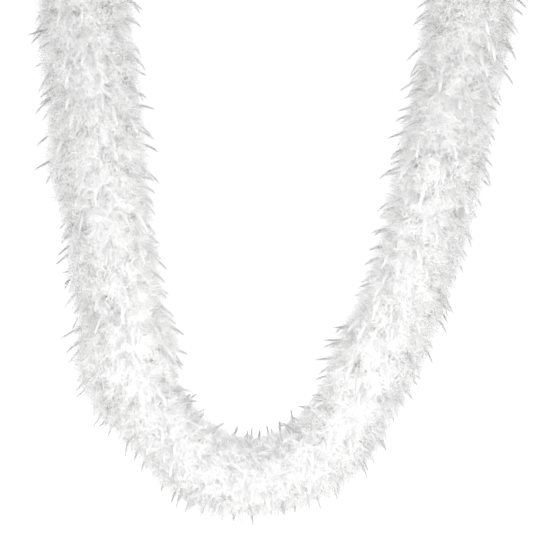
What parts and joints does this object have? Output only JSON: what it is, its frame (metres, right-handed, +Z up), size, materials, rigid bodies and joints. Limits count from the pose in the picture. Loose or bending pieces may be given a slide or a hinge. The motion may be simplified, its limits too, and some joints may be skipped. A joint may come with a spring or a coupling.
{
  "type": "marabou feather boa",
  "caption": "White marabou down boa hung by an end loop at each tip: whorls of drooping plumes tied along a twisted cord in an uneven U.",
  "frame": {"origin": "midway between the two points where the end loops rest on their hooks", "axes": "+Z up, along the hanging arms; X from the left loop to the right loop; the boa hangs in the plane Y = 0, seen from -Y"},
  "size_m": [0.6174, 0.1294, 0.9355],
  "materials": {
    "marabou_plumes": "soft matte down",
    "core_cord": "twisted matte cotton",
    "binding_thread": "fine matte thread",
    "loop_cord": "twisted matte cotton",
    "whipping_thread": "fine matte thread"
  },
  "bodies": {
    "end_loops": {"left_end_loop": "loop_cord", "left_loop_whipping": "whipping_thread", "left_end_knot": "loop_cord", "right_end_loop": "loop_cord", "right_loop_whipping": "whipping_thread", "right_end_knot": "loop_cord"},
    "upper_arms": {"left_upper_cord": "core_cord", "left_upper_binding_thread": "binding_thread", "left_upper_plumes": "marabou_plumes", "right_upper_cord": "core_cord", "right_upper_binding_thread": "binding_thread", "right_upper_plumes": "marabou_plumes"},
    "middle_arms": {"left_middle_cord": "core_cord", "left_middle_binding_thread": "binding_thread", "left_middle_plumes": "marabou_plumes", "right_middle_cord": "core_cord", "right_middle_binding_thread": "binding_thread", "right_middle_plumes": "marabou_plumes"},
    "lower_arms": {"left_lower_cord": "core_cord", "left_lower_binding_thread": "binding_thread", "left_lower_plumes": "marabou_plumes", "right_lower_cord": "core_cord", "right_lower_binding_thread": "binding_thread", "right_lower_plumes": "marabou_plumes"},
    "bottom_bend": {"bottom_cord": "core_cord", "bottom_binding_thread": "binding_thread", "bottom_plumes": "marabou_plumes"}
  },
  "joints": [
    {"name": "top_swing", "type": "hinge", "parent": "end_loops", "child": "upper_arms", "pos_m": [0, 0, -0.05], "axis": [1, 0, 0], "range_deg": [-40, 40]},
    {"name": "upper_swing", "type": "hinge", "parent": "upper_arms", "child": "middle_arms", "pos_m": [0, 0, -0.25], "axis": [1, 0, 0], "range_deg": [-25, 25]},
    {"name": "middle_swing", "type": "hinge", "parent": "middle_arms", "child": "lower_arms", "pos_m": [0, 0, -0.45], "axis": [1, 0, 0], "range_deg": [-25, 25]},
    {"name": "lower_swing", "type": "hinge", "parent": "lower_arms", "child": "bottom_bend", "pos_m": [0, 0, -0.65], "axis": [1, 0, 0], "range_deg": [-25, 25]}
  ]
}
